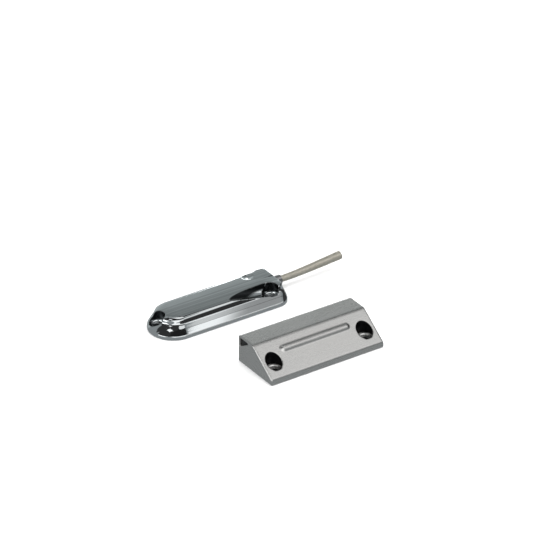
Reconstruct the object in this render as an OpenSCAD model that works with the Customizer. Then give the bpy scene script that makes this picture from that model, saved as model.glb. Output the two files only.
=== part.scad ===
// Surface-mounted contact for a roller shutter: a low die-cast switch housing with a
// reed switch and an armoured cable, and a folded sheet cover that holds its magnets.
// Both lie on their feet, long sides parallel, as they are laid out before fitting.

/* [Switch housing] */
// Length over all
switch_length = 91.8; // [88:0.2:98]
// Width over all
switch_width = 32.3; // [31.5:0.1:35]
// Height of the plateau
switch_height = 9.7; // [9.4:0.1:11]
// Height of the upright rim round the foot
rim_height = 2.2; // [1.8:0.1:2.6]
// Height where the sloping shoulder meets the flank of the plateau
shoulder_height = 6.2; // [5.8:0.1:6.6]
// Width of the sloping shoulder along the front
shoulder_width = 7.2; // [6.6:0.1:7.8]
// How far the flank leans in above the shoulder
flank_lean = 1.2; // [0.8:0.1:1.6]
// How far the back and the cable end lean in at the plateau
draft = 0.9; // [0.6:0.1:1.2]
// How far the nose leans in at the plateau
nose_lean = 7.2; // [6.8:0.1:7.6]
// Edge radius of the plateau
plateau_edge = 0.9; // [0.6:0.1:1.2]
// Plan radius of the front corner at the cable end
front_corner = 10; // [9:0.5:11]
// Plan radius of the same corner where the shoulder ends
shoulder_corner = 6; // [5.5:0.5:7]
// Plan radius of the same corner of the plateau
plateau_corner = 5; // [4.5:0.5:6]
// Plan radius of the back corner at the cable end
back_corner = 3; // [2:0.5:4]
// Wall of the casting
cast_wall = 1.8; // [1.5:0.1:2]
// Length of the full-width block at the cable end
block_length = 13.8; // [12.4:0.2:15]
// Length over which the block widens
block_taper = 7.5; // [6:0.5:9]
// Dimple in the plateau, from the cable end
dimple_x = 15.5; // [14.5:0.5:17]
// Dimple, from the back edge
dimple_y = 4.1; // [3.6:0.1:5]
// Radius of the ball that the dimple fits
dimple_r = 9; // [8:0.5:10]
// Depth of the dimple
dimple_depth = 0.9; // [0.5:0.1:0.9]

/* [Switch fixing] */
// Radius of the screw pockets
pocket_r = 4.85; // [4.6:0.05:5]
// Radius of the screw holes in the pocket floors
screw_r = 2.3; // [2:0.1:2.6]
// Thickness of the pocket floors
pocket_floor = 2.2; // [1.8:0.1:2.6]
// Wall round each pocket, inside the housing
pocket_wall = 1.3; // [1.1:0.1:1.4]
// Nose pocket, from the tip of the nose
nose_pocket_x = 6.8; // [6.6:0.1:7.2]
// Nose pocket, behind the centre line
nose_pocket_back = 4; // [3.6:0.1:4.4]
// Tail pocket, from the cable end
tail_pocket_x = 10.2; // [9.8:0.1:10.6]
// Tail pocket, from the front edge
tail_pocket_y = 10.2; // [9.8:0.1:10.4]
// Radius of the scoop that runs out of the tail pocket
scoop_r = 5.2; // [5.05:0.05:5.4]
// Rise of the scoop away from the pocket, in degrees
scoop_rise = 12; // [10:0.5:14]
// Height of the scoop's bed at the pocket
scoop_bed = 3.4; // [3.2:0.1:3.8]

/* [Cable] */
// Radius of the cable where it leaves the housing
cable_r = 2.1; // [1.9:0.05:2.2]
// How much wider the cable is at its cut end
cable_flare = 0.65; // [0.4:0.05:0.8]
// Height of the cable's centre at the housing
cable_z = 5.6; // [5.4:0.1:5.8]
// Clearance between the crimp ring and the wall of the tail pocket
cable_gap = 0.6; // [0.3:0.1:1]
// Wall of the ferrule
ferrule_wall = 0.9; // [0.7:0.1:1]
// Length of ferrule that stands out of the housing
ferrule_out = 3.2; // [2.5:0.1:4]
// Length of ferrule inside the housing
ferrule_in = 4; // [3:0.5:5]
// Radius of the stripped jacket inside the housing
jacket_r = 1.6; // [1.4:0.05:1.8]
// Length of jacket left on the stripped end
jacket_length = 5; // [4:0.5:6]
// Wall of the crimp ring
crimp_wall = 0.8; // [0.6:0.1:0.9]
// Length of the crimp ring
crimp_length = 3; // [2:0.5:4]

/* [Reed switch] */
// Length of the glass
glass_length = 20; // [16:0.5:22]
// Outer radius of the glass
glass_r = 1.35; // [1.2:0.05:1.5]
// Wall of the glass
glass_wall = 0.3; // [0.25:0.05:0.4]
// Length of the seal at each end of the glass
glass_seal = 2.6; // [2:0.2:3.4]
// Thickness of each flat blade
blade_t = 0.2; // [0.15:0.05:0.25]
// Width of each flat blade
blade_w = 1.1; // [0.9:0.1:1.2]
// Gap between the overlapping blades
contact_gap = 0.1; // [0.05:0.05:0.15]
// Overlap of the blades
blade_overlap = 1.6; // [1:0.2:2.4]
// Radius of the round leads
lead_r = 0.3; // [0.25:0.05:0.35]
// Lead outside the glass at each end, up to its bend
lead_out = 5; // [4:0.5:6]
// Wall of the soft sleeve round the glass
sleeve_wall = 0.4; // [0.3:0.05:0.5]
// Width of the circuit board
board_width = 9; // [8.6:0.2:10]
// Thickness of the circuit board
board_t = 1; // [0.8:0.2:1.6]
// Height of the board's underside
board_z = 1.8; // [1.5:0.1:2]
// Radius of each insulated wire
wire_r = 0.55; // [0.5:0.05:0.6]
// Radius of the bared copper
copper_r = 0.25; // [0.2:0.05:0.3]

/* [Magnet unit] */
// Length over all
magnet_length = 80; // [76:0.5:88]
// Depth over all
magnet_depth = 35.1; // [34:0.1:38]
// Height over all
magnet_height = 17.4; // [16.8:0.1:19]
// Depth of the flat top
top_depth = 15.1; // [14.4:0.1:16]
// Height of the lip along the front
lip_height = 3.5; // [3.2:0.1:4]
// Thickness of the folded sheet
sheet_t = 1.2; // [1:0.1:1.4]
// Outer radius of the folds
fold_r = 1.8; // [1.6:0.1:2.2]
// Radius of the drawn screw cups
cup_r = 4.95; // [4.6:0.05:5.1]
// Height of the cup floors
cup_floor = 3.6; // [3.2:0.1:4]
// Cups, from each end
cup_x = 7.7; // [7.2:0.1:9]
// Cups, from the front edge
cup_y = 9.2; // [8.8:0.1:9.6]
// Half width of the raised bead
bead_r = 2.2; // [1.8:0.1:2.5]
// How far the bead stands up from the face
bead_rise = 0.8; // [0.6:0.1:1.1]
// Distance between the end of the bead and the middle of each cup
bead_gap = 7.8; // [7:0.1:10]
// Distance of the bead up the face from the front fold
bead_up = 16.8; // [16:0.2:17.6]
// Height of the end flaps at the back
flap_back = 10.4; // [9.5:0.1:11.5]
// Height of the end flaps where the gap over them ends
flap_front = 15.3; // [14.6:0.1:15.6]
// Reach of the gap over each end flap, from the back wall
flap_run = 8.7; // [8:0.1:10]

/* [Magnets] */
// Length of each bar magnet
bar_length = 25; // [20:0.5:26]
// Depth of each bar magnet
bar_depth = 9; // [8:0.5:9.5]
// Height of each bar magnet
bar_height = 8; // [6:0.5:9]
// Wall of the carrier behind the bars
well_wall = 2.2; // [1.8:0.1:2.6]
// Gap between the two bars
bar_gap = 1; // [0.6:0.2:2]
// Thickness of the keeper plate under the bars
keeper_t = 1.5; // [1:0.25:2]
// Depth of the sealing resin under the keeper plate
seal_t = 1.4; // [1:0.1:1.8]

/* [Layout] */
// Clear floor between the two units
pair_gap = 37.6; // [30:0.2:60]
// How far the magnet unit lies beyond the nose of the switch
pair_shift = 26.9; // [15:0.1:40]

/* [Hidden] */

// Fineness of round surfaces and of the arcs in the outlines
round_fn = 64;
nose_steps = 36;
corner_steps = 9;
fold_steps = 5;
// Cuts run this far past the faces that they open
over = 1;
// Gap left for sliding a piece into its place
slip = 0.1;

// The pair is centred on its own floor area
pair_x = max(switch_length, pair_shift + magnet_length);
pair_y = magnet_depth + pair_gap + switch_width;
switch_at = [-pair_x / 2, pair_y / 2 - switch_width, 0];
magnet_at = [pair_shift - pair_x / 2, -pair_y / 2, 0];

// Switch housing
plateau_front = shoulder_width + flank_lean;
shoulder_draft = draft / 2;
shoulder_nose = nose_lean - flank_lean;
nose_pocket = [nose_pocket_x, switch_width / 2 + nose_pocket_back, 0];
tail_pocket = [switch_length - tail_pocket_x, tail_pocket_y, 0];
scoop_length = 60;
cavity_roof = switch_height - cast_wall;
// Under the slopes the wall is measured square to them, so its height there is less
cavity_shoulder = shoulder_height - 0.9 * cast_wall;
cavity_rim = rim_height - 0.6 * cast_wall;
potting_z = 0.3;
dimple_z = switch_height + dimple_r - dimple_depth;
dimple_at = [switch_length - dimple_x, switch_width - dimple_y, dimple_z];
block_root = 1.9;
block_corner = 1.6;
block_bend = 6;

// Cable, from the housing's inside to its cut end
ferrule_slip = 0.05;
ferrule_bore = cable_r + ferrule_slip;
ferrule_r = ferrule_bore + ferrule_wall;
crimp_r = ferrule_bore + crimp_wall;
cable_at = [switch_length, tail_pocket_y + pocket_r + pocket_wall + cable_gap + crimp_r, cable_z];
cable_past = 6;
cable_in = ferrule_in + cable_past;
jacket_end = cable_at[0] - cable_in - jacket_length;
// The free cable's run beyond the ferrule, point by point
cable_run = [[0, 0, 0], [9, 0, 0.2], [18, 0.2, 0.6], [27, 0.5, 1.1], [36, 0.9, 1.6], [45, 1.3, 2.1]];
cable_sides = 12;
wire_sides = 8;

// Reed switch, lying along the board. The length that it and its leads leave over, between
// the wall of the nose pocket and the jacket's end, is shared out between the gaps.
nose_wall_x = nose_pocket_x + pocket_r + pocket_wall;
spare = jacket_end - nose_wall_x - glass_length - 2 * lead_out;
board_x = nose_wall_x + 0.1 * spare;
lead_margin = 0.1 * spare;
pads_behind = 0.25 * spare;
pad_margin = 0.06 * spare;
board_at = [board_x, cable_at[1] - board_width / 2, board_z];
board_top = board_z + board_t;
reed_z = board_top + slip + sleeve_wall + glass_r;
reed_aside = 1.6;
reed_y = cable_at[1] + reed_aside;
reed_x = board_x + lead_margin + lead_out + glass_length / 2;
lead_nose_x = reed_x - glass_length / 2 - lead_out;
lead_tail_x = reed_x + glass_length / 2 + lead_out;
pad_x = lead_tail_x + pads_behind;
board_length = pad_x + pad_margin - board_x;
pad_pitch = 2.1;
joint_r = 0.75;
joint_h = 0.7;
joint_collar = 0.15;
// The four cores lie two by two in the jacket
core_place = wire_r + slip;
function core_at(k) = [
    jacket_end,
    cable_at[1] + (k < 2 ? -1 : 1) * core_place,
    cable_z + (k % 2 == 0 ? 1 : -1) * core_place
];
function pad_at(k) = [pad_x, cable_at[1] + (k - 1.5) * pad_pitch, board_top];
wire_lift = joint_h + wire_r + 2 * slip;
wire_straight = 1.5;
bare_length = 1.2;

// Magnet unit, in the upright plane across it
slant_run = magnet_depth - top_depth;
slant_rise = magnet_height - lip_height;
slant_angle = atan2(slant_rise, slant_run);
slant_length = norm([slant_run, slant_rise]);
cover_outline = [
    [0, 0], [0, lip_height], [slant_run, magnet_height],
    [magnet_depth, magnet_height], [magnet_depth, 0]
];
cups = [for (x = [cup_x, magnet_length - cup_x]) [x, cup_y, 0]];
bead_length = magnet_length - 2 * (cup_x + bead_gap);
cup_outer = cup_r + sheet_t;
bead_sphere = (bead_r * bead_r + bead_rise * bead_rise) / (2 * bead_rise);
// No fold is sharper than this
fold_least = 0.4;
bar_y = magnet_depth - sheet_t - well_wall - bar_depth;
bar_z = seal_t + keeper_t;
bars_length = 2 * bar_length + bar_gap;
bars_x = (magnet_length - bars_length) / 2;

// Points on an arc round a centre, from one angle to another
function arc(centre, r, from, to, steps) =
    [for (i = [0:steps]) let (a = from + (to - from) * i / steps) centre + r * [cos(a), sin(a)]];

// Housing outline at one height: a round nose and two round corners at the cable end
function ring(front, back, left, right, r_front, r_back, z) =
    let (r = (back - front) / 2)
    [for (p = concat(
        arc([left + r, front + r], r, 270, 90, nose_steps),
        arc([right - r_back, back - r_back], r_back, 90, 0, corner_steps),
        arc([right - r_front, front + r_front], r_front, 0, -90, corner_steps)
    )) [p[0], p[1], z]];

// Solid through a stack of rings that have as many points each
module loft(rings) {
    n = len(rings[0]);
    top = (len(rings) - 1) * n;
    polyhedron(
        points = [for (r = rings) each r],
        faces = concat(
            [[for (i = [n - 1:-1:0]) i]],
            [for (k = [0:len(rings) - 2], i = [0:n - 1])
                let (j = (i + 1) % n) [k * n + j, (k + 1) * n + j, (k + 1) * n + i]],
            [for (k = [0:len(rings) - 2], i = [0:n - 1])
                let (j = (i + 1) % n) [k * n + j, (k + 1) * n + i, k * n + i]],
            [[for (i = [0:n - 1]) top + i]]
        )
    );
}

// Round tube along points, its radius growing evenly from the first to the last
function heading(p, i) =
    let (d = p[min(i + 1, len(p) - 1)] - p[max(i - 1, 0)]) d / norm(d);
function tube_ring(p, i, r, sides) =
    let (t = heading(p, i), s = cross(t, [0, 0, 1]), side = s / norm(s), up = cross(side, t))
    [for (j = [0:sides - 1]) let (a = 360 * j / sides) p[i] + r * (cos(a) * side + sin(a) * up)];
module tube_along(p, r_first, r_last, sides) {
    last = len(p) - 1;
    loft([for (i = [0:last]) tube_ring(p, i, r_first + (r_last - r_first) * i / last, sides)]);
}

// A closed outline moved inwards by d, corner by corner, and with its corners rounded
function line_shift(a, b, d) =
    let (t = (b - a) / norm(b - a), n = [t[1], -t[0]]) [a + n * d, t];
function meet(l, m) =
    let (c = l[1][0] * m[1][1] - l[1][1] * m[1][0], w = m[0] - l[0])
    l[0] + l[1] * (w[0] * m[1][1] - w[1] * m[1][0]) / c;
function inset(p, d) = let (n = len(p))
    [for (i = [0:n - 1]) meet(line_shift(p[(i + n - 1) % n], p[i], d), line_shift(p[i], p[(i + 1) % n], d))];
function round_corner(before, at, after, r) =
    r <= 0 ? [at] :
    let (
        u = (before - at) / norm(before - at),
        v = (after - at) / norm(after - at),
        half = acos(u * v) / 2,
        middle = (u + v) / norm(u + v),
        centre = at + middle * r / sin(half),
        first = at + u * r / tan(half) - centre,
        last = at + v * r / tan(half) - centre,
        a = atan2(first[1], first[0]),
        turn = ((atan2(last[1], last[0]) - a + 540) % 360) - 180
    )
    arc(centre, r, a, a + turn, fold_steps);
function rounded(p, r) = let (n = len(p))
    [for (i = [0:n - 1]) each round_corner(p[(i + n - 1) % n], p[i], p[(i + 1) % n], r[i])];

// Upright section drawn in depth and height, pushed along the length
module across(x, length) {
    translate([x, 0, 0]) rotate([90, 0, 90]) linear_extrude(length) children();
}

// Housing form, whole or shrunk to the hollow inside it
module switch_form() {
    w = switch_width;
    l = switch_length;
    h = switch_height;
    e = plateau_edge;
    function level(d, z) = ring(
        plateau_front + d, w - draft - d, nose_lean + d, l - draft - d,
        plateau_corner - d, back_corner - d / 2, z
    );
    loft([
        ring(0, w, 0, l, front_corner, back_corner, 0),
        ring(0, w, 0, l, front_corner, back_corner, rim_height),
        ring(
            shoulder_width, w - shoulder_draft, shoulder_nose, l - shoulder_draft,
            shoulder_corner, back_corner, shoulder_height
        ),
        level(0, h - e),
        level(e * (1 - cos(30)), h - e * (1 - sin(30))),
        level(e * (1 - cos(60)), h - e * (1 - sin(60))),
        level(e, h)
    ]);
}
// The cable end stands upright at the back, over the whole width of the foot
module cable_block() {
    left = switch_length - block_length;
    right = switch_length - draft;
    back = switch_width - slip;
    root = switch_width - draft - block_root;
    e = plateau_edge;
    front = cable_at[1];
    plan = [[left, root], [left + block_taper, back], [right, back], [right, front], [left, front]];
    function level(d, z) =
        [for (p = rounded(inset(plan, d), [0, block_bend - d, block_corner - d, 0, 0])) [p[0], p[1], z]];
    loft([
        level(0, rim_height / 2),
        level(0, switch_height - e),
        level(e * (1 - cos(30)), switch_height - e * (1 - sin(30))),
        level(e * (1 - cos(60)), switch_height - e * (1 - sin(60))),
        level(e, switch_height)
    ]);
}
module cavity_form(bottom) {
    t = cast_wall;
    w = switch_width;
    l = switch_length;
    loft([
        ring(t, w - t, t, l - t, front_corner - t, back_corner / 2, bottom),
        ring(t, w - t, t, l - t, front_corner - t, back_corner / 2, cavity_rim),
        ring(
            shoulder_width + t / 2, w - shoulder_draft - t, shoulder_nose + t,
            l - shoulder_draft - t, shoulder_corner - t / 2, back_corner / 2, cavity_shoulder
        ),
        ring(
            plateau_front + t, w - draft - t, nose_lean + t, l - draft - t,
            plateau_corner - t, back_corner / 2, cavity_roof
        )
    ]);
}
module scoop(r) {
    translate(tail_pocket) translate([0, 0, scoop_bed + scoop_r / cos(scoop_rise)])
        rotate([0, scoop_rise - 90, 0]) cylinder(h = scoop_length, r = r, $fn = round_fn);
}
module cavity(bottom) {
    difference() {
        cavity_form(bottom);
        for (p = [nose_pocket, tail_pocket])
            translate(p) translate([0, 0, bottom - over])
                cylinder(h = switch_height + 2 * over, r = pocket_r + pocket_wall, $fn = round_fn);
        scoop(scoop_r + pocket_wall);
    }
}
module switch_housing() {
    color("silver") difference() {
        union() {
            switch_form();
            cable_block();
        }
        cavity(-over);
        translate(dimple_at) sphere(r = dimple_r, $fn = round_fn);
        for (p = [nose_pocket, tail_pocket]) translate(p) {
            translate([0, 0, pocket_floor]) cylinder(h = switch_height, r = pocket_r, $fn = round_fn);
            translate([0, 0, -over]) cylinder(h = switch_height, r = screw_r, $fn = round_fn);
        }
        scoop(scoop_r);
        along_cable(cable_at[0] - cable_in, cable_in + over, ferrule_r);
    }
}

// Resin that closes the underside, cast round what the housing holds
module switch_potting() {
    color("dimgray") difference() {
        union() {
            cavity(potting_z);
            along_cable(cable_at[0] - cable_in, cable_past, ferrule_r);
        }
        along_reed(glass_length, glass_r + sleeve_wall);
        board_form();
        for (s = [0, 1]) lead_form(s, lead_r);
        for (k = [0:3]) solder_form(k);
        for (s = [0, 1]) lead_joint_form(s);
        for (k = [0:3]) wire_form(k);
        for (k = [0:3]) copper_form(k);
        jacket_form();
        cable_core_form();
        crimp_form(0);
        ferrule_form(0);
    }
}

module board_form() {
    translate(board_at) cube([board_length, board_width, board_t]);
}
module reed_board() {
    color("darkgreen") difference() {
        board_form();
        for (x = [lead_nose_x, lead_tail_x])
            translate([x, reed_y, board_z - over])
                cylinder(h = board_t + 2 * over, r = lead_r, $fn = round_fn);
    }
}

// Cylinder centred on the reed switch
module along_reed(length, r) {
    translate([reed_x - length / 2, reed_y, reed_z]) rotate([0, 90, 0])
        cylinder(h = length, r = r, $fn = round_fn);
}
module reed_sleeve() {
    color("whitesmoke") difference() {
        along_reed(glass_length, glass_r + sleeve_wall);
        along_reed(glass_length + over, glass_r);
    }
}
module reed_glass() {
    color("lightcyan", 0.5) difference() {
        along_reed(glass_length, glass_r);
        along_reed(glass_length - 2 * glass_seal, glass_r - glass_wall);
        along_reed(glass_length + over, lead_r);
    }
}

// A lead runs out of the glass, turns down and ends in the board; s is 0 at the nose
module lead_form(s, r) {
    x = s == 0 ? lead_nose_x : lead_tail_x;
    glass_end = reed_x + (s == 0 ? -1 : 1) * glass_length / 2;
    translate([min(x, glass_end), reed_y, reed_z]) rotate([0, 90, 0])
        cylinder(h = lead_out, r = r, $fn = round_fn);
    translate([x, reed_y, reed_z]) sphere(r = r, $fn = round_fn);
    translate([x, reed_y, board_z]) cylinder(h = reed_z - board_z, r = r, $fn = round_fn);
}
module reed_blade(s) {
    sign = s == 0 ? -1 : 1;
    inner_seal = reed_x + sign * (glass_length / 2 - glass_seal);
    tip = reed_x - sign * blade_overlap / 2;
    lift = -sign * (contact_gap / 2 + blade_t / 2);
    color("silver") union() {
        lead_form(s, lead_r);
        translate([min(inner_seal, inner_seal + sign * glass_seal), reed_y, reed_z])
            rotate([0, 90, 0]) cylinder(h = glass_seal, r = lead_r, $fn = round_fn);
        translate([min(inner_seal, tip), reed_y - blade_w / 2, reed_z + lift - blade_t / 2])
            cube([abs(tip - inner_seal), blade_w, blade_t]);
    }
}
module reed_blade_nose() { reed_blade(0); }
module reed_blade_tail() { reed_blade(1); }

// Solder: a small cone on each of the four pads and round each lead on the board
module solder_form(k) {
    translate(pad_at(k)) cylinder(h = joint_h, r1 = joint_r, r2 = copper_r + joint_collar, $fn = round_fn);
}
module lead_joint_form(s) {
    translate([s == 0 ? lead_nose_x : lead_tail_x, reed_y, board_top])
        cylinder(h = joint_h, r1 = joint_r, r2 = lead_r + joint_collar, $fn = round_fn);
}
module solder_joints() {
    color("lightgray") {
        for (k = [0:3]) difference() {
            solder_form(k);
            translate(pad_at(k)) translate([0, 0, -over])
                cylinder(h = joint_h + 2 * over, r = copper_r, $fn = round_fn);
        }
        for (s = [0, 1]) difference() {
            lead_joint_form(s);
            translate([s == 0 ? lead_nose_x : lead_tail_x, reed_y, board_top - over])
                cylinder(h = joint_h + 2 * over, r = lead_r, $fn = round_fn);
        }
    }
}

// Insulated wires from the jacket's end to the pads
function wire_path(k) =
    let (a = core_at(k), b = pad_at(k) + [bare_length, 0, wire_lift])
    [a, a - [wire_straight, 0, 0], (a + b) / 2, b + [wire_straight, 0, 0], b];
module wire_form(k) { tube_along(wire_path(k), wire_r, wire_r, wire_sides); }
module feed_wire() { color("firebrick") wire_form(0); }
module return_wire() { color("black") wire_form(2); }
module tamper_loop() { color("gold") for (k = [1, 3]) wire_form(k); }

// Bared copper: out of the insulation, round a bend and down to the pad
module copper_form(k) {
    translate(pad_at(k)) {
        cylinder(h = wire_lift, r = copper_r, $fn = round_fn);
        translate([0, 0, wire_lift]) {
            sphere(r = copper_r, $fn = round_fn);
            rotate([0, 90, 0]) cylinder(h = bare_length, r = copper_r, $fn = round_fn);
        }
    }
}
module wire_ends() { color("peru") for (k = [0:3]) copper_form(k); }

// Stripped end of the cable inside the housing, and what holds it
module along_cable(x, length, r) {
    translate([x, cable_at[1], cable_at[2]]) rotate([0, 90, 0])
        cylinder(h = length, r = r, $fn = round_fn);
}
module jacket_form() { along_cable(jacket_end, jacket_length, jacket_r); }
module cable_core_form() { along_cable(cable_at[0] - cable_in, cable_in, ferrule_bore); }
module crimp_form(bore) {
    difference() {
        along_cable(cable_at[0] - cable_in, crimp_length, crimp_r);
        if (bore > 0) along_cable(cable_at[0] - cable_in - over, crimp_length + 2 * over, bore);
    }
}
module ferrule_form(bore) {
    difference() {
        along_cable(cable_at[0] - ferrule_in, ferrule_in + ferrule_out, ferrule_r);
        if (bore > 0)
            along_cable(cable_at[0] - ferrule_in - over, ferrule_in + ferrule_out + 2 * over, bore);
    }
}
module cable_jacket() { color("gray") jacket_form(); }
module cable_crimp() { color("silver") crimp_form(ferrule_bore); }
module cable_ferrule() { color("silver") ferrule_form(ferrule_bore); }
module armoured_cable() {
    start = [cable_at[0] - cable_in, cable_at[1], cable_at[2]];
    mouth = cable_at + [ferrule_out, 0, 0];
    color("tan") union() {
        tube_along([start, mouth], cable_r, cable_r, cable_sides);
        tube_along([for (p = cable_run) mouth + p], cable_r, cable_r + cable_flare, cable_sides);
    }
}

// Folded cover of the magnet unit. The face is bent down at both ends into flaps,
// which stop short of the top plate at the back.
module face_slab(d) {
    r = max(fold_r - d, fold_least);
    x0 = d;
    x1 = magnet_length - d;
    deep = magnet_depth + magnet_height;
    outline = rounded([[x0, -deep], [x0, -d], [x1, -d], [x1, -deep]], [0, r, r, 0]);
    translate([0, 0, lip_height]) rotate([slant_angle, 0, 0]) rotate([90, 0, 0])
        translate([0, 0, -2 * deep]) linear_extrude(4 * deep) polygon(outline);
}
module cover_solid(d, x0, x1) {
    r = max(fold_r - d, fold_least);
    across(x0, x1 - x0) polygon(rounded(inset(cover_outline, d), [0, r, r, r, 0]));
}
module cover_block(d) {
    intersection() {
        cover_solid(d, d, magnet_length - d);
        face_slab(d);
    }
}
// What each flap leaves open under the top plate, and the slit beside the back wall
module flap_gap(x) {
    back = magnet_depth - sheet_t;
    across(x, sheet_t + 2 * over) polygon([
        [back, flap_back], [back - flap_run, flap_front],
        [back - flap_run, magnet_height - sheet_t], [back, magnet_height - sheet_t]
    ]);
}
// Raised bead on the slanting face, or the hollow under it where the radius is a sheet less
module bead_form(r, root) {
    half = bead_length / 2 - bead_r;
    translate([magnet_length / 2, 0, lip_height]) rotate([slant_angle, 0, 0])
        translate([0, bead_up, bead_rise - bead_sphere]) intersection() {
            union() {
                translate([-half, 0, 0]) rotate([0, 90, 0]) cylinder(h = 2 * half, r = r, $fn = round_fn);
                for (s = [-1, 1]) translate([s * half, 0, 0]) sphere(r = r, $fn = round_fn);
            }
            translate([-magnet_length / 2, -2 * bead_r, bead_sphere - bead_rise - root])
                cube([magnet_length, 4 * bead_r, 2 * bead_sphere]);
        }
}
module magnet_cover() {
    color("silver") difference() {
        union() {
            difference() {
                cover_block(0);
                cavity_block();
                for (x = [-over, magnet_length - sheet_t - over]) flap_gap(x);
            }
            bead_form(bead_sphere, sheet_t / 2);
            intersection() {
                for (c = cups) translate(c) translate([0, 0, cup_floor - sheet_t])
                    cylinder(h = magnet_height, r = cup_outer, $fn = round_fn);
                cover_block(sheet_t / 2);
            }
        }
        bead_form(bead_sphere - sheet_t, sheet_t + over);
        for (c = cups) translate(c) {
            translate([0, 0, cup_floor]) cylinder(h = magnet_height, r = cup_r, $fn = round_fn);
            translate([0, 0, -over]) cylinder(h = magnet_height, r = screw_r, $fn = round_fn);
        }
    }
}
module cavity_block() {
    p = inset(cover_outline, sheet_t);
    r = max(fold_r - sheet_t, fold_least);
    intersection() {
        across(sheet_t, magnet_length - 2 * sheet_t) polygon(rounded(
            [[sheet_t, -over], p[1], p[2], p[3], [magnet_depth - sheet_t, -over]], [0, r, r, r, 0]
        ));
        face_slab(sheet_t);
    }
}

// Moulded insert that fills the cover and carries the magnets
module well_form() {
    translate([bars_x - slip, bar_y - slip, -over])
        cube([bars_length + 2 * slip, bar_depth + 2 * slip, bar_z + bar_height + slip + over]);
}
module magnet_carrier() {
    side = sheet_t + slip;
    color("#202224") difference() {
        intersection() {
            cavity_block();
            translate([side, side, 0])
                cube([magnet_length - 2 * side, magnet_depth - 2 * side, magnet_height - 2 * side]);
        }
        for (c = cups) translate(c) {
            translate([0, 0, cup_floor - sheet_t])
                cylinder(h = magnet_height, r = cup_outer, $fn = round_fn);
            translate([0, 0, -over]) cylinder(h = magnet_height, r = screw_r, $fn = round_fn);
        }
        well_form();
    }
}
module bar_magnet(k) {
    color("#5a5d60") translate([bars_x + k * (bar_length + bar_gap), bar_y, bar_z])
        cube([bar_length, bar_depth, bar_height]);
}
module bar_magnet_left() { bar_magnet(0); }
module bar_magnet_right() { bar_magnet(1); }
module keeper_plate() {
    color("slategray") translate([bars_x, bar_y, seal_t]) cube([bars_length, bar_depth, keeper_t]);
}
module magnet_potting() {
    color("dimgray") translate([bars_x - slip, bar_y - slip, 0])
        cube([bars_length + 2 * slip, bar_depth + 2 * slip, seal_t]);
}

translate(switch_at) switch_housing();
translate(switch_at) switch_potting();
translate(switch_at) reed_board();
translate(switch_at) reed_glass();
translate(switch_at) reed_sleeve();
translate(switch_at) reed_blade_nose();
translate(switch_at) reed_blade_tail();
translate(switch_at) feed_wire();
translate(switch_at) return_wire();
translate(switch_at) tamper_loop();
translate(switch_at) wire_ends();
translate(switch_at) solder_joints();
translate(switch_at) cable_jacket();
translate(switch_at) cable_crimp();
translate(switch_at) cable_ferrule();
translate(switch_at) armoured_cable();
translate(magnet_at) magnet_cover();
translate(magnet_at) magnet_carrier();
translate(magnet_at) bar_magnet_left();
translate(magnet_at) bar_magnet_right();
translate(magnet_at) keeper_plate();
translate(magnet_at) magnet_potting();
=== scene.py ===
"""Surface-mounted contact for a roller shutter: a polished switch casting with a short armoured
cable, and a folded satin cover that holds the magnets. All places are in metres, in the part's frame.
"""
import math

import bmesh
import bpy
from mathutils import Matrix, Vector


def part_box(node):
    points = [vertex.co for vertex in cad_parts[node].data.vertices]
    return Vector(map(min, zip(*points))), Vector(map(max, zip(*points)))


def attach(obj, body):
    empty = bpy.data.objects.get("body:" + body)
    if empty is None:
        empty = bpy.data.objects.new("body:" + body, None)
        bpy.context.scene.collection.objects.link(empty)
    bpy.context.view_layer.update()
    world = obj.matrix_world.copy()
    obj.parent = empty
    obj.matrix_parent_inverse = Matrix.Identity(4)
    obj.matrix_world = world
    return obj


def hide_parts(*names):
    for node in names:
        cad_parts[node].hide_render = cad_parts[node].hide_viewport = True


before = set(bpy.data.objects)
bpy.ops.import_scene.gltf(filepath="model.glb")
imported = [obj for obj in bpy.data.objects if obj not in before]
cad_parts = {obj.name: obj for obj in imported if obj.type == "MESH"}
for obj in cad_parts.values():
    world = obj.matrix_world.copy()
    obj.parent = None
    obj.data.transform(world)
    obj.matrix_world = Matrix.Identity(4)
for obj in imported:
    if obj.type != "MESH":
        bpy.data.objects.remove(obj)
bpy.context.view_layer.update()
MM = 0.001


# Camera, at the photograph's angle

CAMERA_HEADING = 33.84   # degrees from +Y towards +X
CAMERA_HEIGHT = 30.02    # degrees above the floor
CAMERA_DISTANCE = 2.4444
CAMERA_TARGET = Vector((0.04733, 0.05408, 0))
PICTURE_SIDE = 550
FOCAL_PIXELS = 4000
SENSOR_MM = 36


def view_direction():
    heading, height = math.radians(CAMERA_HEADING), math.radians(CAMERA_HEIGHT)
    flat = math.cos(height)
    return Vector((math.sin(heading) * flat, math.cos(heading) * flat, -math.sin(height)))


def add_camera():
    data = bpy.data.cameras.new("camera")
    data.sensor_width = SENSOR_MM
    data.lens = SENSOR_MM * FOCAL_PIXELS / PICTURE_SIDE
    data.clip_end = 20
    camera = bpy.data.objects.new("camera", data)
    bpy.context.scene.collection.objects.link(camera)
    towards = view_direction()
    camera.location = CAMERA_TARGET - CAMERA_DISTANCE * towards
    camera.rotation_euler = towards.to_track_quat("-Z", "Y").to_euler()
    bpy.context.scene.camera = camera


# Modelling steps that the pieces share

def only(*objects):
    """Select these objects alone and make the first one active."""
    if bpy.context.mode != "OBJECT":
        bpy.ops.object.mode_set(mode="OBJECT")
    bpy.ops.object.select_all(action="DESELECT")
    for obj in objects:
        obj.select_set(True)
    bpy.context.view_layer.objects.active = objects[0]
    return objects[0]


def settle(obj):
    """Put an object's place, turn and scale into its mesh."""
    only(obj)
    bpy.ops.object.transform_apply(location=True, rotation=True, scale=True)
    return obj


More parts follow.
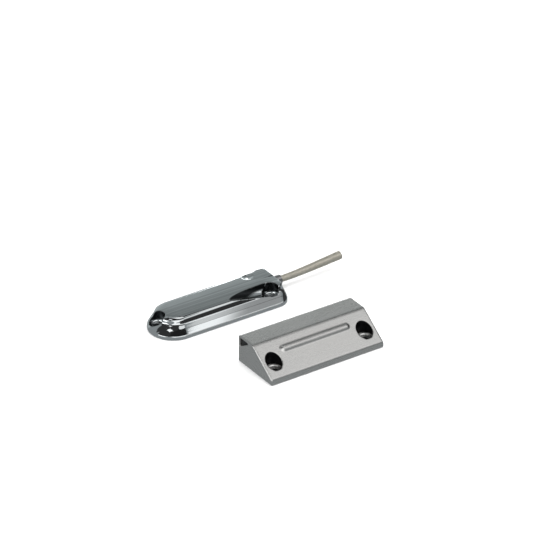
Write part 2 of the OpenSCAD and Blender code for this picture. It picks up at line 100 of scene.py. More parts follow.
def finish_with(obj, kind, **settings):
    """Add a modifier with these settings and apply it."""
    only(obj)
    modifier = obj.modifiers.new(kind.lower(), kind)
    for name, value in settings.items():
        setattr(modifier, name, value)
    bpy.ops.object.modifier_apply(modifier=modifier.name)
    return obj


def combine(obj, tool, operation):
    """Cut a tool out of an object, join it on, or keep what both share. The tool is used up."""
    finish_with(obj, "BOOLEAN", object=tool, operation=operation, solver="EXACT")
    bpy.data.objects.remove(tool)
    return obj


def cut(obj, *tools):
    for tool in tools:
        combine(obj, tool, "DIFFERENCE")
    return obj


def outward(obj):
    """Merge doubled points and turn every face outwards."""
    only(obj)
    bpy.ops.object.mode_set(mode="EDIT")
    bpy.ops.mesh.select_all(action="SELECT")
    bpy.ops.mesh.remove_doubles(threshold=1e-6)
    bpy.ops.mesh.normals_make_consistent(inside=False)
    bpy.ops.object.mode_set(mode="OBJECT")
    return obj


def round_bar(start, end, radius, sides=128):
    """Cylinder from one point to another."""
    start, end = Vector(start), Vector(end)
    turn = (end - start).to_track_quat("Z", "Y").to_euler()
    bpy.ops.mesh.primitive_cylinder_add(
        vertices=sides, radius=radius, depth=(end - start).length, location=(start + end) / 2, rotation=turn)
    return settle(bpy.context.object)


def ball(centre, radius, sides=64):
    bpy.ops.mesh.primitive_uv_sphere_add(segments=sides, ring_count=sides // 2, radius=radius, location=centre)
    return settle(bpy.context.object)


def stack_of_outlines(rings):
    """Solid whose foot is the first outline and which is extruded outline by outline to the last."""
    bpy.ops.mesh.primitive_circle_add(vertices=len(rings[0]), fill_type="NGON")
    obj = bpy.context.object
    for vertex, point in zip(obj.data.vertices, rings[0]):
        vertex.co = point
    obj.matrix_world = Matrix.Identity(4)
    bpy.ops.object.mode_set(mode="EDIT")
    bpy.ops.mesh.select_mode(type="FACE")
    bpy.ops.mesh.select_all(action="SELECT")
    for below, ring in zip(rings, rings[1:]):
        bpy.ops.mesh.extrude_region_move()
        places = {tuple(round(c, 7) for c in Vector(p)): Vector(q) for p, q in zip(below, ring)}
        mesh = bmesh.from_edit_mesh(obj.data)
        for vertex in mesh.verts:
            if vertex.select:
                vertex.co = places[tuple(round(c, 7) for c in vertex.co)]
        bmesh.update_edit_mesh(obj.data)
    bpy.ops.object.mode_set(mode="OBJECT")
    return outward(obj)


def drawn_in(profile, depth):
    """A closed profile moved inwards by a depth, corner by corner."""
    points = [Vector(p) for p in profile]
    moved = []
    for before, here, after in zip(points[-1:] + points[:-1], points, points[1:] + points[:1]):
        first, second = (here - before).normalized(), (after - here).normalized()
        inwards = Vector((first.y, -first.x)), Vector((second.y, -second.x))
        middle = (inwards[0] + inwards[1]).normalized()
        moved.append(tuple(here + middle * depth / middle.dot(inwards[0])))
    return moved


def soften(obj, grid, passes):
    """Even skin whose edges are as soft as casting or pressing leaves them."""
    finish_with(obj, "REMESH", mode="VOXEL", voxel_size=grid, adaptivity=0)
    finish_with(obj, "SMOOTH", factor=0.5, iterations=passes)
    only(obj)
    bpy.ops.object.shade_smooth()
    return obj


def part_of(obj, name, slot, *nodes):
    """Name a finished piece, let it ride on the part and hide the CAD pieces it stands in for."""
    obj.name = name
    obj.data.name = name
    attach(obj, "root")
    if nodes:
        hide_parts(*nodes)
    return obj


# Free end of the cable. The points are those of the part's own route, from the ferrule's mouth.

CABLE_MOUTH = Vector((41.55, 40.1, 5.6)) * MM
CABLE_RUN = [(0, 0, 0), (9, 0, 0.2), (18, 0.2, 0.6), (27, 0.5, 1.1), (36, 0.9, 1.6), (45, 1.3, 2.1)]
CABLE_R = 2.1 * MM
CABLE_FLARE = 0.65 * MM
BRAID_DEPTH = 0.16 * MM
BRAID_CARRIERS = 12
BRAID_SLOPE = 0.9
CABLE_AROUND = 96
CABLE_RINGS = 330


def cable_route(steps):
    """Evenly spaced points on one smooth curve through the run."""
    knots = [CABLE_MOUTH + Vector(p) * MM for p in CABLE_RUN]
    knots = [2 * knots[0] - knots[1], *knots, 2 * knots[-1] - knots[-2]]
    fine = []
    for a, b, c, d in zip(knots, knots[1:], knots[2:], knots[3:]):
        for k in range(40):
            t = k / 40
            fine.append(0.5 * (2 * b + (c - a) * t + (2 * a - 5 * b + 4 * c - d) * t ** 2
                               + (3 * b - a - 3 * c + d) * t ** 3))
    fine.append(knots[-2])
    reach = [0]
    for p, q in zip(fine, fine[1:]):
        reach.append(reach[-1] + (q - p).length)
    points, k = [], 0
    for i in range(steps + 1):
        wanted = reach[-1] * i / steps
        while k < len(fine) - 2 and reach[k + 1] < wanted:
            k += 1
        share = (wanted - reach[k]) / (reach[k + 1] - reach[k])
        points.append(fine[k].lerp(fine[k + 1], share))
    return points, reach[-1]


def braid_height(angle, along):
    """Height of the woven wires, from 0 in a gap to 1 on a strand that runs over."""
    turn = angle / (2 * math.pi) * BRAID_CARRIERS
    step = BRAID_SLOPE * along / (2 * math.pi * CABLE_R) * BRAID_CARRIERS
    u, v = turn + step, turn - step
    over = (math.floor(u) + math.floor(v)) % 2
    first, second = abs(math.sin(math.pi * u)), abs(math.sin(math.pi * v))
    return max(first * (0.55 + 0.45 * over), second * (1 - 0.45 * over))


def braided_tube(points, length):
    """Mesh tube round the points, closed at both ends, with the braid raised on it."""
    rings = []
    for i, point in enumerate(points):
        heading = (points[min(i + 1, len(points) - 1)] - points[max(i - 1, 0)]).normalized()
        side = heading.cross(Vector((0, 0, 1))).normalized()
        up = side.cross(heading)
        along = length * i / (len(points) - 1)
        radius = CABLE_R + CABLE_FLARE * along / length - BRAID_DEPTH
        ring = []
        for j in range(CABLE_AROUND):
            angle = 2 * math.pi * j / CABLE_AROUND
            r = radius + BRAID_DEPTH * braid_height(angle, along)
            ring.append(point + r * (math.cos(angle) * side + math.sin(angle) * up))
        rings.append(ring)
    mesh = bpy.data.meshes.new("cable")
    count = CABLE_AROUND
    corners = [p for ring in rings for p in ring]
    faces = [
        (i * count + j, i * count + (j + 1) % count, (i + 1) * count + (j + 1) % count, (i + 1) * count + j)
        for i in range(len(rings) - 1) for j in range(count)]
    faces += [tuple(range(count)), tuple(range(len(corners) - count, len(corners)))]
    mesh.from_pydata(corners, [], faces)
    obj = bpy.data.objects.new("cable", mesh)
    bpy.context.scene.collection.objects.link(obj)
    return outward(obj)


def add_cable():
    points, length = cable_route(CABLE_RINGS)
    cable = braided_tube(points, length)
    only(cable)
    bpy.ops.object.shade_smooth_by_angle(angle=math.radians(50))
    part_of(cable, "cable_braid", "cable_armour", "armoured_cable")
    path, _ = cable_route(30)
    inner_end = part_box("armoured_cable")[0]
    stub = round_bar((inner_end.x, CABLE_MOUTH.y, CABLE_MOUTH.z), CABLE_MOUTH, CABLE_R)
    part_of(stub, "cable_inside", "cable_armour", "armoured_cable")
    return cable, stub


# Switch casting

SWITCH_LOW, SWITCH_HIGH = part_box("switch_housing")
SWITCH_LENGTH = (SWITCH_HIGH.x - SWITCH_LOW.x) / MM
SWITCH_WIDTH = (SWITCH_HIGH.y - SWITCH_LOW.y) / MM
SWITCH_HEIGHT = 9.7
RIM_HEIGHT = 2.2
SHOULDER_HEIGHT = 6.2
SHOULDER_WIDTH = 7.2
FLANK_LEAN = 1.2
DRAFT = 0.9
NOSE_LEAN = 7.2
FRONT_CORNER = 10
BACK_CORNER = 3
CAST_WALL = 1.8
POCKET_R = 4.85
POCKET_WALL = 1.3
POCKET_FLOOR = 2.2
SCREW_R = 2.3
NOSE_POCKET = (6.8, SWITCH_WIDTH / 2 + 4)
TAIL_POCKET = (SWITCH_LENGTH - 10.2, 10.2)
SCOOP_R = 5.2
SCOOP_RISE = math.radians(12)
SCOOP_BED = 3.4
FERRULE_R = 3.05
BLOCK_LENGTH = 13.8
BLOCK_TAPER = 7.5
BLOCK_ROOT = 1.9
BLOCK_BEND = 6
BLOCK_CORNER = 2.4
DIMPLE_R = 9
DIMPLE_DEPTH = 0.9
DIMPLE_PLACE = (SWITCH_LENGTH - 15.5, SWITCH_WIDTH - 4.1)
PLATEAU_CROWN = 0.4
PLATEAU_HALF = 11.5
SHOULDER_BULGE = 0.28
NOSE_ROUND_END = 24
NOSE_ROUND_FADE = 9
POCKET_ROUND = 1.5
NOSE_STEPS = 90
CORNER_STEPS = 16


def on_switch(x, y, z):
    """A place on the switch unit, from the foot of its nose end's front, in millimetres."""
    return Vector((SWITCH_LOW.x + x * MM, SWITCH_LOW.y + y * MM, z * MM))


def arc(x, y, r, first, last, steps):
    angles = [math.radians(first + (last - first) * k / steps) for k in range(steps + 1)]
    return [(x + r * math.cos(a), y + r * math.sin(a)) for a in angles]


def housing_outline(front, back, left, right, r_front, r_back, height):
    r = (back - front) / 2
    plan = arc(left + r, front + r, r, 270, 90, NOSE_STEPS)
    plan += arc(right - r_back, back - r_back, r_back, 90, 0, CORNER_STEPS)
    plan += arc(right - r_front, front + r_front, r_front, 0, -90, CORNER_STEPS)
    return [on_switch(x, y, height) for x, y in plan]


def rounded_levels(rings, reaches, steps):
    """Outlines of the same solid with its inner levels rounded. A reach gives, for a place on the
    level, how far the round goes down and how far it goes up from there."""
    result = [rings[0]]
    for below, level, above, reach in zip(rings, rings[1:], rings[2:], reaches):
        curves = []
        for a, b, c in zip(below, level, above):
            down, up = reach(b)
            start = b.lerp(a, min(down * MM / (a - b).length, 0.5))
            end = b.lerp(c, min(up * MM / (c - b).length, 0.95 if above is rings[-1] else 0.5))
            curves.append([start.lerp(b, k / steps).lerp(b.lerp(end, k / steps), k / steps)
                           for k in range(steps + 1)])
        result += [list(ring) for ring in zip(*curves)]
    return result + [rings[-1]]


def evenly(reach):
    return lambda place: (reach, reach)


def fuller_at_nose(place):
    """The plateau's edge is rounder at the nose than along the straight."""
    share = min(max((NOSE_ROUND_END - (place.x - SWITCH_LOW.x) / MM) / NOSE_ROUND_FADE, 0), 1)
    share = share * share * (3 - 2 * share)
    return 0.9 + 0.9 * share, 0.9 + 3.1 * share


def housing_form():
    """Foot, rim, a full shoulder, a steep flank, and a plateau that is crowned by a hair."""
    w, l = SWITCH_WIDTH, SWITCH_LENGTH
    front = SHOULDER_WIDTH + FLANK_LEAN

    def plateau(inwards):
        height = SWITCH_HEIGHT - PLATEAU_CROWN * (1 - inwards / PLATEAU_HALF) ** 2
        return (front + inwards, w - DRAFT - inwards, NOSE_LEAN + inwards, l - DRAFT - inwards,
                max(5 - inwards, 0.3), max(BACK_CORNER - inwards, 0.3), height)

    levels = [
        (0, w, 0, l, FRONT_CORNER, BACK_CORNER, 0),
        (0, w, 0, l, FRONT_CORNER, BACK_CORNER, RIM_HEIGHT),
        (0.48 * SHOULDER_WIDTH, w - DRAFT / 4, 0.48 * (NOSE_LEAN - FLANK_LEAN), l - DRAFT / 4, 8, BACK_CORNER,
         (RIM_HEIGHT + SHOULDER_HEIGHT) / 2 + SHOULDER_BULGE),
        (SHOULDER_WIDTH, w - DRAFT / 2, NOSE_LEAN - FLANK_LEAN, l - DRAFT / 2, 6, BACK_CORNER, SHOULDER_HEIGHT)]
    levels += [plateau(inwards) for inwards in (0, 4.5, 6, 8, 10)]
    rings = [housing_outline(*level) for level in levels]
    reaches = [evenly(0.4), evenly(1.6), evenly(0.9), fuller_at_nose]
    return stack_of_outlines(rounded_levels(rings[:6], reaches, 6) + rings[6:])


def scoop_axis():
    start = on_switch(*TAIL_POCKET, SCOOP_BED + SCOOP_R / math.cos(SCOOP_RISE))
    return start, Vector((-math.cos(SCOOP_RISE), 0, math.sin(SCOOP_RISE)))


def scoop_bar(radius):
    """Bar that lies in the scoop: out of the tail pocket, rising towards the nose."""
    start, run = scoop_axis()
    return round_bar(start, start + 60 * MM * run, radius * MM)


def upright_bar(place, low, high, radius):
    return round_bar(on_switch(*place, low), on_switch(*place, high), radius * MM)


def round_footed(foot, radius, fillet, height):
    """Upright round tool whose foot is rounded, as the floor of a cast or drawn pocket is."""
    turns = [math.radians(15 * k) for k in range(7)]
    profile = [(radius - fillet * (1 - math.sin(a)), fillet * (1 - math.cos(a))) for a in turns]
    rings = []
    for r, z in profile + [(radius, height)]:
        circle = arc(0, 0, r, 0, 357, 119)
        rings.append([foot + Vector((x, y, z)) * MM for x, y in circle])
    return stack_of_outlines(rings)


def housing_hollow():
    w, l, t = SWITCH_WIDTH, SWITCH_LENGTH, CAST_WALL
    front = SHOULDER_WIDTH + FLANK_LEAN
    half = BACK_CORNER / 2
    levels = [
        (t, w - t, t, l - t, FRONT_CORNER - t, half, -1),
        (t, w - t, t, l - t, FRONT_CORNER - t, half, RIM_HEIGHT - 0.6 * t),
        (SHOULDER_WIDTH + t / 2, w - DRAFT / 2 - t, NOSE_LEAN - FLANK_LEAN + t, l - DRAFT / 2 - t,
         6 - t / 2, half, SHOULDER_HEIGHT - 0.9 * t),
        (front + t, w - DRAFT - t, NOSE_LEAN + t, l - DRAFT - t, 5 - t, half, SWITCH_HEIGHT - t)]
    hollow = stack_of_outlines([housing_outline(*level) for level in levels])
    posts = [upright_bar(place, -2, 12, POCKET_R + POCKET_WALL) for place in (NOSE_POCKET, TAIL_POCKET)]
    return cut(hollow, *posts, scoop_bar(SCOOP_R + POCKET_WALL))


def rounded_corner(before, corner, after, radius, steps=12):
    """The points of an arc that rounds off one corner of a plan."""
    before, corner, after = Vector(before), Vector(corner), Vector(after)
    u, v = (before - corner).normalized(), (after - corner).normalized()
    half = u.angle(v) / 2
    centre = corner + (u + v).normalized() * radius / math.sin(half)
    first = corner + u * radius / math.tan(half) - centre
    last = corner + v * radius / math.tan(half) - centre
    turn = first.angle_signed(last)
    return [tuple(centre + Matrix.Rotation(-turn * k / steps, 2) @ first) for k in range(steps + 1)]


def cable_block():
    """The upright back corner at the cable end, as wide as the foot."""
    left, right = SWITCH_LENGTH - BLOCK_LENGTH, SWITCH_LENGTH - DRAFT
    back, front = SWITCH_WIDTH - 0.1, SWITCH_WIDTH - 12
    root = SWITCH_WIDTH - DRAFT - BLOCK_ROOT
    corners = [(left, root), (left + BLOCK_TAPER, back), (right, back), (right, front), (left, front)]
    radii = (0, BLOCK_BEND, BLOCK_CORNER, 0, 0)

    def level(inwards, height):
        plan, points = drawn_in(corners, inwards), []
        for k, corner in enumerate(plan):
            if radii[k]:
                points += rounded_corner(plan[k - 1], corner, plan[k + 1], radii[k] - inwards)
            else:
                points.append(corner)
        return [on_switch(x, y, height) for x, y in points]

    edge, top = 0.9, SWITCH_HEIGHT
    turns = [math.radians(15 * k) for k in range(7)]
    return stack_of_outlines(
        [level(0, RIM_HEIGHT / 2)]
        + [level(edge * (1 - math.cos(a)), top - edge * (1 - math.sin(a))) for a in turns])


def add_switch_casting():
    shell = housing_form()
    combine(shell, cable_block(), "UNION")
    dimple = on_switch(*DIMPLE_PLACE, SWITCH_HEIGHT + DIMPLE_R - DIMPLE_DEPTH)
    cut(shell, scoop_bar(SCOOP_R), ball(dimple, DIMPLE_R * MM, 192), housing_hollow())
    for place in (NOSE_POCKET, TAIL_POCKET):
        pocket = round_footed(on_switch(*place, POCKET_FLOOR), POCKET_R, POCKET_ROUND, 12)
        cut(shell, pocket, upright_bar(place, -1, 14, SCREW_R))
    mouth = on_switch(SWITCH_LENGTH, 0, 0).x
    cut(shell, round_bar(
        (mouth - 4 * MM, CABLE_MOUTH.y, CABLE_MOUTH.z), (mouth + MM, CABLE_MOUTH.y, CABLE_MOUTH.z),
        FERRULE_R * MM))
    soften(shell, 0.33 * MM, 4)
    return part_of(shell, "switch_casting", "chrome_casting", "switch_housing")


# Magnet cover

COVER_LOW, COVER_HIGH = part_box("magnet_cover")
COVER_LENGTH = (COVER_HIGH.x - COVER_LOW.x) / MM
COVER_DEPTH = (COVER_HIGH.y - COVER_LOW.y) / MM
COVER_HEIGHT = (COVER_HIGH.z - COVER_LOW.z) / MM
TOP_DEPTH = 15.1
LIP_HEIGHT = 3.5
SHEET = 1.2
FOLD_R = 1.8
CUP_R = 4.95
CUP_FLOOR = 3.6
CUP_X = 7.7
CUP_Y = 9.2
BEAD_R = 2.2
BEAD_RISE = 0.8
BEAD_GAP = 7.8
BEAD_UP = 16.8
FLAP_BACK = 10.4
FLAP_FRONT = 15.3
FLAP_RUN = 8.7
FACE_RUN = COVER_DEPTH - TOP_DEPTH
FACE_RISE = COVER_HEIGHT - LIP_HEIGHT
FACE_TILT = math.atan2(FACE_RISE, FACE_RUN)
COVER_PROFILE = [
    (0, 0), (0, LIP_HEIGHT), (FACE_RUN, COVER_HEIGHT), (COVER_DEPTH, COVER_HEIGHT), (COVER_DEPTH, 0)]


def on_cover(x, y, z):
    """A place on the magnet unit, from the foot of its left end's front, in millimetres."""
    return Vector((COVER_LOW.x + x * MM, COVER_LOW.y + y * MM, z * MM))


def folded_block(profile, x0, x1, fold_r):
    """Block with the given upright profile; its three folds and the face's two ends are rounded."""
    rings = [[on_cover(x, y, z) for y, z in profile] for x in (x0, x1)]
    block = stack_of_outlines(rings)
    bends = [on_cover(0, *profile[k]) for k in (1, 2, 3)]
    bpy.ops.object.mode_set(mode="EDIT")
    bpy.ops.mesh.select_mode(type="EDGE")
    bpy.ops.mesh.select_all(action="DESELECT")
    mesh = bmesh.from_edit_mesh(block.data)
    for edge in mesh.edges:
        a, b = (v.co for v in edge.verts)
        along = abs(a.x - b.x) > MM
        fold = along and any((a.yz - bend.yz).length < 1e-5 for bend in bends)
        ends = [any((p.yz - bend.yz).length < 1e-5 for bend in bends[:2]) for p in (a, b)]
        edge.select = fold or (not along and all(ends))
    bmesh.update_edit_mesh(block.data)
    bpy.ops.mesh.bevel(offset=fold_r * math.tan(FACE_TILT / 2) * 1.6 * MM, segments=8, profile=0.5)
    bpy.ops.object.mode_set(mode="OBJECT")
    return outward(block)


def across_block(profile, x0, x1):
    return stack_of_outlines([[on_cover(x, y, z) for y, z in profile] for x in (x0, x1)])


def face_place(along, up, proud):
    """A place on the slanting face: along the cover, up the face from its lower fold, and off it."""
    c, s = math.cos(FACE_TILT), math.sin(FACE_TILT)
    return on_cover(along, up * c - proud * s, LIP_HEIGHT + up * s + proud * c)


def bead_bar(radius, proud):
    """Round-ended bar that lies along the face, its crest standing proud of it."""
    half = COVER_LENGTH / 2 - CUP_X - BEAD_GAP - BEAD_R
    ends = [face_place(COVER_LENGTH / 2 + s * half, BEAD_UP, proud - radius) for s in (-1, 1)]
    bar = round_bar(ends[0], ends[1], radius * MM)
    for end in ends:
        combine(bar, ball(end, radius * MM, 96), "UNION")
    return bar


def add_magnet_cover():
    shell = folded_block(COVER_PROFILE, 0, COVER_LENGTH, FOLD_R)
    inside = drawn_in(COVER_PROFILE, SHEET)
    inside[0] = (inside[1][0], -1)
    inside[-1] = (inside[3][0], -1)
    bead = (BEAD_R ** 2 + BEAD_RISE ** 2) / (2 * BEAD_RISE)
    hollow = folded_block(inside, SHEET, COVER_LENGTH - SHEET, FOLD_R - SHEET)
    cups = [(CUP_X, CUP_Y), (COVER_LENGTH - CUP_X, CUP_Y)]
    for x, y in cups:
        wall = round_bar(on_cover(x, y, CUP_FLOOR - SHEET), on_cover(x, y, 30), (CUP_R + SHEET) * MM)
        cut(hollow, wall)
    back = COVER_DEPTH - SHEET
    gap = [(back, FLAP_BACK), (back - FLAP_RUN, FLAP_FRONT), (back - FLAP_RUN, COVER_HEIGHT - SHEET),
           (back, COVER_HEIGHT - SHEET)]
    cut(shell, hollow, across_block(gap, -1, SHEET + 1), across_block(gap, COVER_LENGTH - SHEET - 1, COVER_LENGTH + 1))
    combine(shell, bead_bar(bead, BEAD_RISE), "UNION")
    cut(shell, bead_bar(bead - SHEET, BEAD_RISE - SHEET))
    for x, y in cups:
        cut(shell, round_footed(on_cover(x, y, CUP_FLOOR), CUP_R, POCKET_ROUND, 26),
            round_bar(on_cover(x, y, -1), on_cover(x, y, 30), SCREW_R * MM))
    soften(shell, 0.38 * MM, 3)
    return part_of(shell, "cover_sheet", "satin_sheet", "magnet_cover")


# Finishes

class Socket:
    """An output of a shader node that plain arithmetic can be done with."""

    def __init__(self, finish, out):
        self.finish = finish
        self.out = out

    def __add__(self, other):
        return self.finish.maths("ADD", self, other)

    def __sub__(self, other):
        return self.finish.maths("SUBTRACT", self, other)

    def __rsub__(self, other):
        return self.finish.maths("SUBTRACT", other, self)

    def __mul__(self, other):
        return self.finish.maths("MULTIPLY", self, other)

    def __truediv__(self, other):
        return self.finish.maths("DIVIDE", self, other)

    __radd__ = __add__
    __rmul__ = __mul__


class Finish:
    """A node tree under construction: a material's or the world's."""

    def __init__(self, tree):
        self.tree = tree
        tree.nodes.clear()

    def node(self, kind, settings=(), values=(), out=0):
        """Add a node, make its settings, then fill its sockets with numbers or links."""
        node = self.tree.nodes.new(kind)
        for name, value in dict(settings).items():
            if name == "stops":
                ramp = node.color_ramp
                while len(ramp.elements) < len(value):
                    ramp.elements.new(0.5)
                for element, (place, colour) in zip(ramp.elements, value):
                    element.position = place
                    element.color = (*colour, 1)
            else:
                setattr(node, name, value)
        for name, value in dict(values).items():
            if isinstance(value, Socket):
                self.tree.links.new(value.out, node.inputs[name])
            else:
                node.inputs[name].default_value = value
        return Socket(self, node.outputs[out]) if node.outputs else node

    def maths(self, operation, *values):
        return self.node("ShaderNodeMath", {"operation": operation}, dict(enumerate(values)))

    def mix(self, share, first, second):
        """A colour that goes from the first to the second as the share goes from 0 to 1."""
        values = {"Factor": share}
        return self.colour_mix(values, first, second)

    def colour_mix(self, values, first, second):
        node = self.tree.nodes.new("ShaderNodeMix")
        node.data_type = "RGBA"
        sockets = {0: values["Factor"], 6: first, 7: second}
        for index, value in sockets.items():
            if isinstance(value, Socket):
                self.tree.links.new(value.out, node.inputs[index])
            elif index == 0:
                node.inputs[index].default_value = value
            else:
                node.inputs[index].default_value = (*value, 1)
        return Socket(self, node.outputs[2])

    def place(self, stretch=(1, 1, 1)):
        """Object coordinates in metres, stretched."""
        where = self.node("ShaderNodeTexCoord", out=3)
        return self.node("ShaderNodeMapping", {}, {"Vector": where, "Scale": stretch})

    def along(self, axis):
        """How far along the part's X, Y or Z a point lies, in metres."""
        where = self.node("ShaderNodeTexCoord", out=3)
        return self.node("ShaderNodeSeparateXYZ", {}, {"Vector": where}, out=axis)

    def vector_maths(self, operation, first, second, out=0):
        return self.node("ShaderNodeVectorMath", {"operation": operation}, {0: first, 1: second}, out=out)

    def inside_pockets(self, places, radius, floor):
        """1 on the wall of each round pocket and in the hole through its floor, else 0: the mask of the painted shade
        in the pockets and cups.
        """
        flat = self.place((1, 1, 0))
        above = self.ranged(self.along(2), floor + 0.9 * MM, floor + 1.9 * MM)
        total = 0.0
        for x, y, _ in places:
            off = self.vector_maths("DISTANCE", flat, (x, y, 0), out=1)
            wall = self.ranged(off, radius + 0.35 * MM, radius + 0.1 * MM) * above
            hole = self.ranged(off, SCREW_R * MM + 0.3 * MM, SCREW_R * MM)
            total = total + self.maths("MAXIMUM", wall, hole)
        return self.maths("MINIMUM", total, 1.0)

    def noise(self, scale, stretch=(1, 1, 1), detail=3, roughness=0.5):
        return self.node("ShaderNodeTexNoise", {}, {
            "Vector": self.place(stretch), "Scale": scale, "Detail": detail, "Roughness": roughness})

    def ranged(self, value, low, high, to_low=0.0, to_high=1.0):
        """Map a value smoothly from one range to another, and hold it inside."""
        return self.node(
            "ShaderNodeMapRange", {"interpolation_type": "SMOOTHSTEP", "clamp": True},
            {"Value": value, "From Min": low, "From Max": high, "To Min": to_low, "To Max": to_high})

    def bump(self, height, strength, distance):
        return self.node("ShaderNodeBump", {}, {"Height": height, "Strength": strength, "Distance": distance})

    def surface(self, **values):
        names = {name.replace("_", " ").title().replace("Ior", "IOR"): value for name, value in values.items()}
        shader = self.node("ShaderNodeBsdfPrincipled", {}, names)
        self.node("ShaderNodeOutputMaterial", {}, {"Surface": shader})


def material(name):
    made = bpy.data.materials.new(name)
    made.use_nodes = True
    return made, Finish(made.node_tree)


def polished_chrome():
    """Mirror bright outside. In the pockets and the scoop the colour is painted near black as shade, and the surface
    is rougher there.
    """
    made, f = material("polished_chrome")
    haze = f.noise(60, detail=4)
    flutes = f.noise(330, (0.02, 1, 1), detail=1)
    pockets = f.inside_pockets(
        [on_switch(*place, 0) for place in (NOSE_POCKET, TAIL_POCKET)], POCKET_R * MM, POCKET_FLOOR * MM)
    start, run = scoop_axis()
    from_start = f.vector_maths("SUBTRACT", f.place(), tuple(start))
    off_axis = f.vector_maths("LENGTH", f.vector_maths("CROSS_PRODUCT", from_start, tuple(run)), (0, 0, 0), out=1)
    ahead = f.ranged(f.vector_maths("DOT_PRODUCT", from_start, tuple(run), out=1), 0, 1 * MM)
    high = f.ranged(f.along(2), (SHOULDER_HEIGHT - 0.3) * MM, (SHOULDER_HEIGHT + 1) * MM)
    scoop = f.ranged(off_axis, (SCOOP_R + 0.35) * MM, (SCOOP_R + 0.05) * MM) * ahead * high
    # Painted shade: the walls of the pockets, the holes through their floors and the scoop are coloured near black,
    # and made rougher.
    painted_shade_and_dull = f.maths("MAXIMUM", pockets, scoop)
    f.surface(
        base_color=f.mix(painted_shade_and_dull, f.mix(haze, (0.71, 0.75, 0.76), (0.81, 0.84, 0.85)), (0.035, 0.038, 0.04)),
        metallic=1.0,
        roughness=0.035 + 0.03 * haze + 0.25 * painted_shade_and_dull,
        normal=f.bump(flutes, 0.6, 0.0003))
    return made


def satin_sheet():
    """Brushed along its length. Inside the cups the colour is painted near black as shade, and the surface is rougher
    there.
    """
    made, f = material("satin_sheet")
    grain = f.noise(9000, (0.02, 1, 1), detail=2)
    cloud = f.noise(90, (0.3, 1, 1), detail=3)
    cups = f.inside_pockets(
        [on_cover(x, CUP_Y, 0) for x in (CUP_X, COVER_LENGTH - CUP_X)], CUP_R * MM, CUP_FLOOR * MM)
    f.surface(
        # Painted shade: the walls of the cups and the holes through their floors are coloured near black.
        base_color=f.mix(cups, f.mix(cloud, (0.68, 0.68, 0.67), (0.78, 0.77, 0.75)), (0.02, 0.02, 0.022)),
        metallic=1.0,
        roughness=0.2 + 0.1 * grain + 0.06 * cloud + 0.1 * cups,
        normal=f.bump(grain, 0.35, 0.00003))
    return made


def plain_metal(name, dark, light, roughness, metallic=1.0):
    """Machined or drawn metal with a fine uneven skin."""
    made, f = material(name)
    patch = f.noise(400, detail=4)
    fine = f.noise(4000, (0.2, 1, 1), detail=2)
    f.surface(
        base_color=f.mix(patch, dark, light), metallic=metallic,
        roughness=roughness + 0.12 * fine, normal=f.bump(fine, 0.3, 0.00003))
    return made


def moulded(name, dark, light, roughness, grain=1500):
    """Moulded or cast plastic with a faint texture."""
    made, f = material(name)
    patch = f.noise(150, detail=4)
    pores = f.noise(grain, detail=3)
    f.surface(
        base_color=f.mix(patch, dark, light),
        roughness=roughness + 0.15 * pores, normal=f.bump(pores, 0.25, 0.00006))
    return made


def clear_glass():
    made, f = material("clear_glass")
    haze = f.noise(800, detail=3)
    f.surface(
        base_color=f.mix(haze, (0.85, 0.95, 0.92), (0.95, 1, 0.98)), roughness=0.02 + 0.05 * haze,
        transmission_weight=0.9, ior=1.5)
    return made


def add_finishes(casting, cover, cable, stub):
    chrome = polished_chrome()
    sheet = satin_sheet()
    armour = plain_metal("cable_armour", (0.58, 0.55, 0.46), (0.85, 0.81, 0.71), 0.32, 0.92)
    resin = moulded("potting_resin", (0.02, 0.02, 0.022), (0.045, 0.045, 0.05), 0.25, 500)
    for obj, made in ((casting, chrome), (cover, sheet), (cable, armour), (stub, armour)):
        obj.data.materials.clear()
        obj.data.materials.append(made)
    plated = plain_metal("plated_steel", (0.35, 0.35, 0.36), (0.5, 0.5, 0.5), 0.22)
    reed = plain_metal("reed_metal", (0.5, 0.48, 0.44), (0.66, 0.64, 0.6), 0.25)
    ferrite = moulded("magnet_ferrite", (0.05, 0.05, 0.055), (0.1, 0.1, 0.11), 0.55, 2500)
    finishes = {
        "switch_potting": resin, "magnet_potting": resin, "cable_crimp": plated, "cable_ferrule": plated,
        "reed_blade_nose": reed, "reed_blade_tail": reed, "bar_magnet_left": ferrite,
        "bar_magnet_right": ferrite,
        "reed_board": moulded("board_laminate", (0.015, 0.09, 0.03), (0.03, 0.15, 0.06), 0.4),
        "reed_glass": clear_glass(),
        "reed_sleeve": moulded("soft_sleeve", (0.6, 0.6, 0.58), (0.75, 0.75, 0.72), 0.45),
        "feed_wire": moulded("wire_red", (0.35, 0.015, 0.01), (0.5, 0.03, 0.02), 0.35),
        "return_wire": moulded("wire_black", (0.008, 0.008, 0.008), (0.02, 0.02, 0.02), 0.35),
        "tamper_loop": moulded("wire_yellow", (0.6, 0.42, 0.02), (0.75, 0.55, 0.05), 0.35),
        "wire_ends": plain_metal("bare_copper", (0.6, 0.3, 0.17), (0.78, 0.45, 0.3), 0.3),
        "solder_joints": plain_metal("solder", (0.5, 0.5, 0.5), (0.7, 0.7, 0.7), 0.2),
        "cable_jacket": moulded("cable_jacket", (0.1, 0.1, 0.1), (0.16, 0.16, 0.15), 0.45),
        "magnet_carrier": moulded("carrier_plastic", (0.006, 0.007, 0.008), (0.016, 0.017, 0.018), 0.45),
        "keeper_plate": plain_metal("keeper_steel", (0.3, 0.31, 0.32), (0.42, 0.43, 0.45), 0.35)}
    for name, made in finishes.items():
        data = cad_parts[name].data
        data.materials.clear()
        data.materials.append(made)


# Studio: a pale floor, and soft light that the polished faces show as light and dark fields

def add_floor():
    bpy.ops.mesh.primitive_plane_add(size=12, location=(0, 0, -0.0002))
    floor = bpy.context.object
    floor.name = "floor"
    made, f = material("pale_floor")
    cloud = f.noise(0.8)
    f.surface(base_color=f.mix(cloud, (0.9, 0.9, 0.9), (0.93, 0.93, 0.93)), roughness=0.9)
    floor.data.materials.append(made)
    floor.visible_glossy = False


